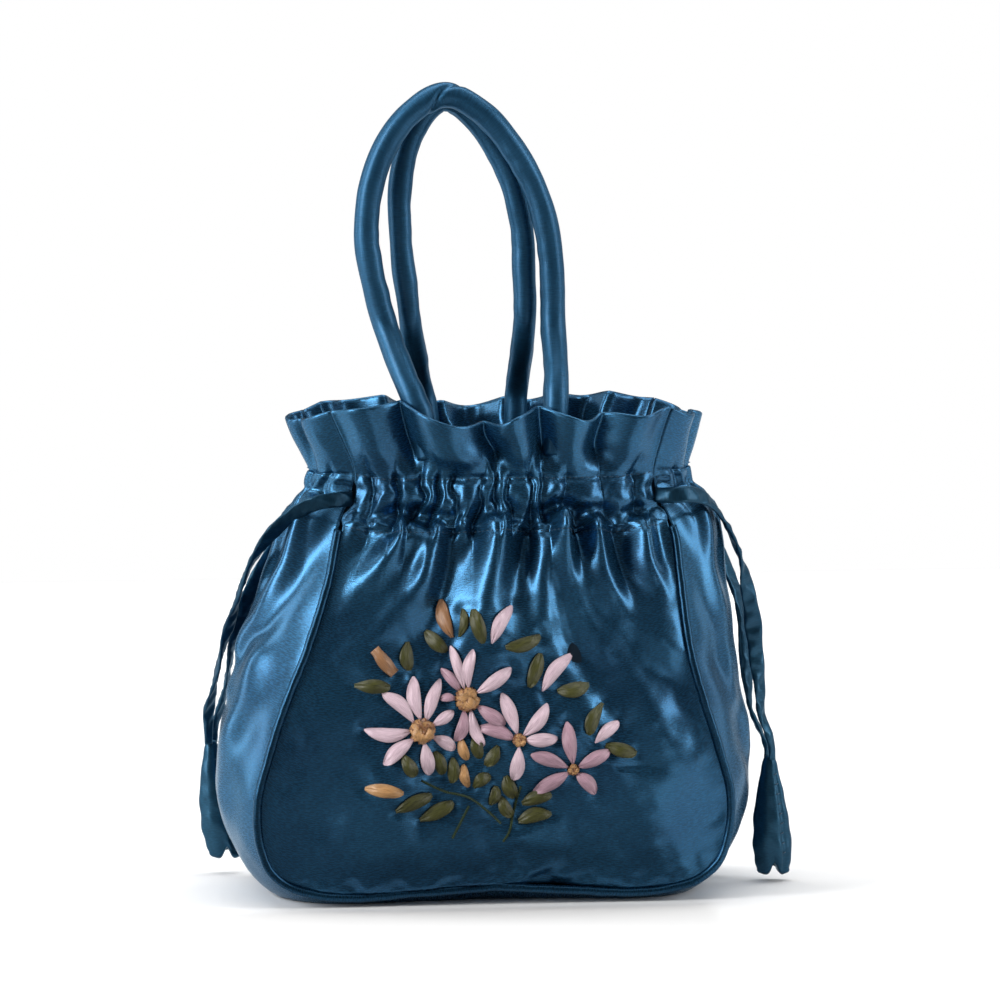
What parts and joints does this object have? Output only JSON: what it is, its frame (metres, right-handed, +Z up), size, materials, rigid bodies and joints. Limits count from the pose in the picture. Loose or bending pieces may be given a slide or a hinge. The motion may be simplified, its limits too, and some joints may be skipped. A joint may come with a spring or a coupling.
{
  "type": "drawstring handbag",
  "caption": "Satin drawstring handbag with stuffed loop handles, gathered neck and frill, piped panels, side drawcords with leaf tassels and ribbon embroidery.",
  "frame": {"origin": "middle of the flat base, on the surface that the bag stands on", "axes": "+Z up to the handles, -Y to the embroidered front, +X to the right-hand side seen from the front"},
  "size_m": [0.2473, 0.1073, 0.3382],
  "materials": {
    "satin": "satin",
    "lining": "matt",
    "cord_satin": "satin",
    "pink_ribbon": "satin",
    "olive_ribbon": "satin",
    "gold_ribbon": "satin",
    "green_thread": "matt"
  },
  "bodies": {
    "root": {"back_panel": "satin", "bud_1": "gold_ribbon", "bud_2": "gold_ribbon", "bud_3": "gold_ribbon", "bud_4": "gold_ribbon", "bud_5": "gold_ribbon", "channel_cord_back": "cord_satin", "channel_cord_front": "cord_satin", "drawcord_left_back": "cord_satin", "drawcord_left_front": "cord_satin", "drawcord_right_back": "cord_satin", "drawcord_right_front": "cord_satin", "flower_left": "pink_ribbon", "flower_middle": "pink_ribbon", "flower_right": "pink_ribbon", "flower_top": "pink_ribbon", "front_panel": "satin", "gusset": "satin", "handle_back": "satin", "handle_front": "satin", "leaf_01": "olive_ribbon", "leaf_02": "olive_ribbon", "leaf_03": "olive_ribbon", "leaf_04": "olive_ribbon", "leaf_05": "olive_ribbon", "leaf_06": "olive_ribbon", "leaf_07": "olive_ribbon", "leaf_08": "olive_ribbon", "leaf_09": "olive_ribbon", "leaf_10": "olive_ribbon", "leaf_11": "olive_ribbon", "leaf_12": "olive_ribbon", "leaf_13": "olive_ribbon", "leaf_14": "olive_ribbon", "leaf_15": "olive_ribbon", "leaf_16": "olive_ribbon", "leaf_17": "olive_ribbon", "leaf_18": "olive_ribbon", "leaf_19": "olive_ribbon", "leaf_20": "olive_ribbon", "leaf_21": "olive_ribbon", "leaf_22": "olive_ribbon", "leaf_23": "olive_ribbon", "lining": "lining", "petal_1": "pink_ribbon", "petal_2": "pink_ribbon", "petal_3": "pink_ribbon", "piping_back": "satin", "piping_front": "satin", "stem_1": "green_thread", "stem_2": "green_thread", "stem_3": "green_thread", "tassel_left": "cord_satin", "tassel_right": "cord_satin"}
  },
  "joints": []
}
